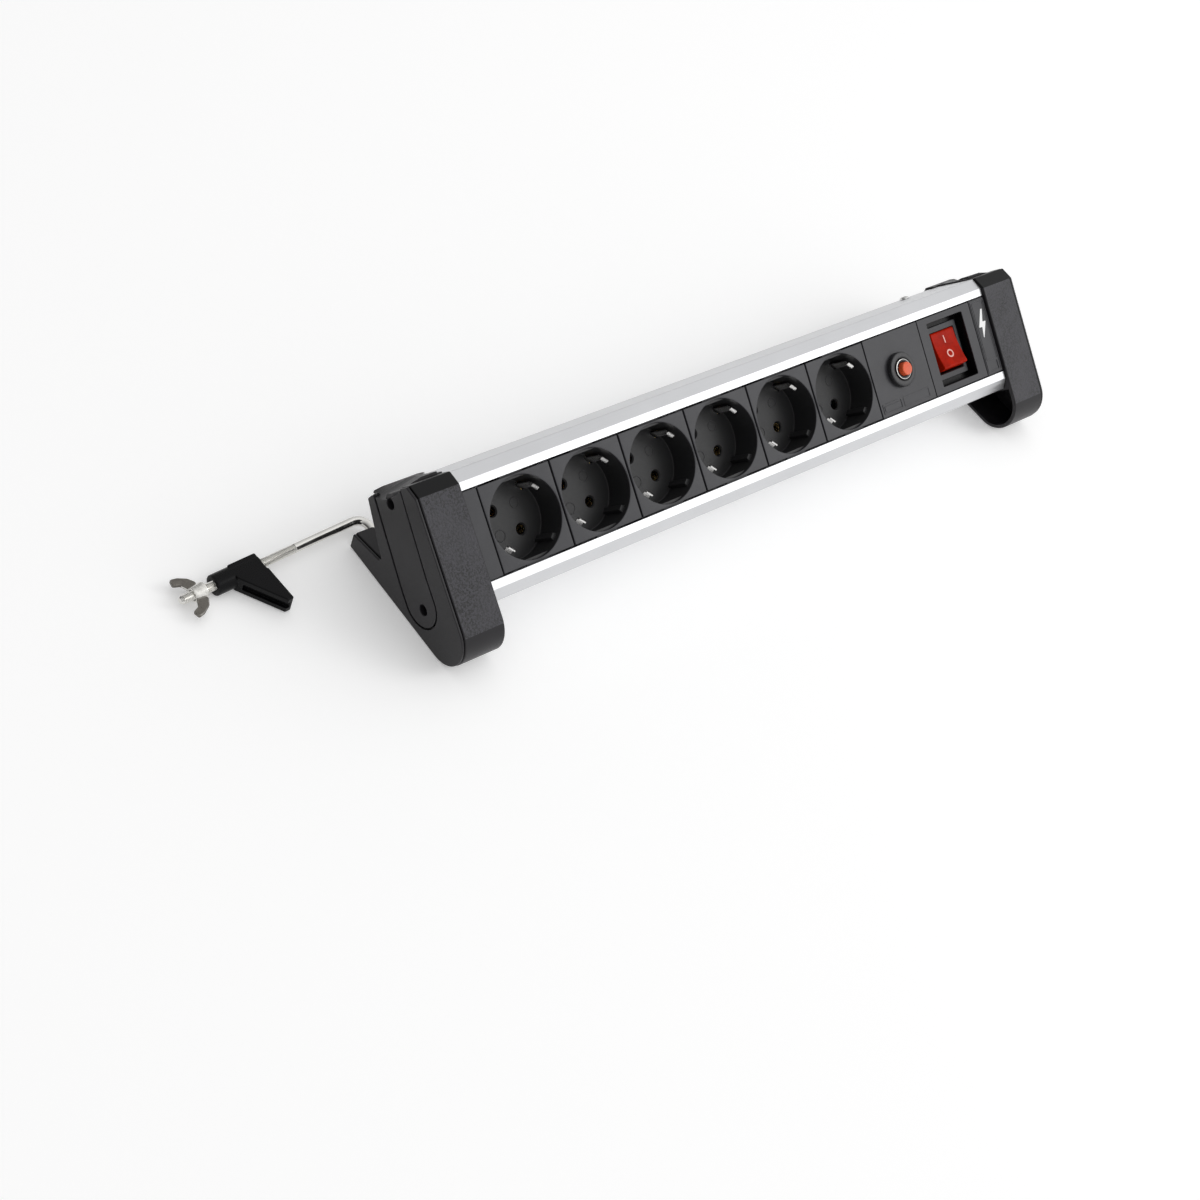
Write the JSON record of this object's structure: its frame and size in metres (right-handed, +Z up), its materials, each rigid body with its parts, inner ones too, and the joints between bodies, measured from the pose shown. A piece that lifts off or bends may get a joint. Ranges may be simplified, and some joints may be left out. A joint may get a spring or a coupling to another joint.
{
  "type": "desk power strip",
  "caption": "Sloping aluminium power strip with earthed sockets, a reset breaker and a lit rocker switch, on moulded feet with swivelling screw clamps.",
  "frame": {"origin": "middle of the left foot's flat base", "axes": "+X along the strip towards the switch, -Y towards the user, +Z up from the desk"},
  "size_m": [0.5314, 0.105, 0.0695],
  "materials": {
    "profile_aluminium": "satin anodised extrusion",
    "panel_black": "fine grained satin moulding",
    "component_black": "satin moulding",
    "foot_textured": "spark eroded grain",
    "foot_smooth": "satin moulding",
    "jaw_black": "smooth moulding",
    "contact_nickel": "nickel plated spring strip",
    "contact_brass": "stamped strip",
    "insulator_card": "pressed card",
    "orange_button": "satin moulding",
    "red_rocker": "clear tinted moulding",
    "lamp_glass": "clear",
    "zinc_fastener": "zinc plated",
    "plated_rod": "nickel plated",
    "plated_nut": "nickel plated",
    "lead_brown": "insulated wire",
    "lead_blue": "insulated wire",
    "lead_green": "insulated wire"
  },
  "bodies": {
    "strip": {"aluminium_profile": "profile_aluminium", "left_blank_plate": "panel_black", "right_label_plate": "panel_black", "socket_module_1": "panel_black", "earth_clip_1": "contact_nickel", "socket_module_2": "panel_black", "earth_clip_2": "contact_nickel", "socket_module_3": "panel_black", "earth_clip_3": "contact_nickel", "socket_module_4": "panel_black", "earth_clip_4": "contact_nickel", "socket_module_5": "panel_black", "earth_clip_5": "contact_nickel", "socket_module_6": "panel_black", "earth_clip_6": "contact_nickel", "phase_rail": "contact_brass", "neutral_rail": "contact_brass", "earth_rail": "contact_brass", "rear_insulator": "insulator_card", "breaker_plate": "panel_black", "breaker_body": "component_black", "breaker_nut": "component_black", "breaker_terminal_1": "contact_brass", "breaker_terminal_2": "contact_brass", "switch_plate": "panel_black", "switch_housing": "component_black", "indicator_lamp": "lamp_glass", "switch_terminal_1": "contact_brass", "switch_terminal_2": "contact_brass", "switch_terminal_3": "contact_brass", "switch_terminal_4": "contact_brass", "cable_gland": "component_black", "gland_nut": "component_black", "earth_screw": "zinc_fastener", "live_lead": "lead_brown", "neutral_lead": "lead_blue", "earth_lead": "lead_green", "left_foot": "foot_textured", "left_side_plate": "foot_smooth", "left_end_cap": "foot_smooth", "left_upper_screw": "zinc_fastener", "left_lower_screw": "zinc_fastener", "right_foot": "foot_textured", "right_side_plate": "foot_smooth", "right_end_cap": "foot_smooth", "right_upper_screw": "zinc_fastener", "right_lower_screw": "zinc_fastener"},
    "rocker": {"rocker": "red_rocker"},
    "breaker_button": {"breaker_button": "orange_button"},
    "left_clamp": {"left_clamp_rod": "plated_rod", "left_rod_clip": "zinc_fastener"},
    "left_jaw": {"left_clamp_jaw": "jaw_black"},
    "left_nut": {"left_wing_nut": "plated_nut"},
    "right_clamp": {"right_clamp_rod": "plated_rod", "right_rod_clip": "zinc_fastener"},
    "right_jaw": {"right_clamp_jaw": "jaw_black"},
    "right_nut": {"right_wing_nut": "plated_nut"}
  },
  "joints": [
    {"name": "rocker_tilt", "type": "hinge", "parent": "strip", "child": "rocker", "pos_m": [0.3598, -0.00797, 0.04447], "axis": [1, 0, 0], "range_deg": [0, 24]},
    {"name": "breaker_button_slide", "type": "slide", "parent": "strip", "child": "breaker_button", "axis": [0, -0.6032, 0.7976], "range_m": [0, 0.0035]},
    {"name": "left_arm_swivel", "type": "hinge", "parent": "strip", "child": "left_clamp", "pos_m": [0, 0.0481, 0.0056], "axis": [0, -1, 0], "range_deg": [-30, 180]},
    {"name": "left_nut_spin", "type": "hinge", "parent": "left_jaw", "child": "left_nut", "pos_m": [-0.09872, 0.04068, 0.0056], "axis": [0.9972, 0.075, 0], "range_deg": [-2475, 18900]},
    {"name": "left_jaw_slide", "type": "slide", "parent": "left_clamp", "child": "left_jaw", "axis": [0.9972, 0.075, 0], "range_m": [-0.0055, 0.042]},
    {"name": "right_arm_swivel", "type": "hinge", "parent": "strip", "child": "right_clamp", "pos_m": [0.4086, 0.0481, 0.0056], "axis": [0, -1, 0], "range_deg": [0, 210]},
    {"name": "right_nut_spin", "type": "hinge", "parent": "right_jaw", "child": "right_nut", "pos_m": [0.30988, 0.04068, 0.0056], "axis": [0.9972, 0.075, 0], "range_deg": [-2475, 18900]},
    {"name": "right_jaw_slide", "type": "slide", "parent": "right_clamp", "child": "right_jaw", "axis": [0.9972, 0.075, 0], "range_m": [-0.0055, 0.042]}
  ],
  "couplings": [
    {"joint": "left_nut_spin", "follows": "left_jaw_slide", "rad_per_m": 7854},
    {"joint": "right_nut_spin", "follows": "right_jaw_slide", "rad_per_m": 7854}
  ]
}
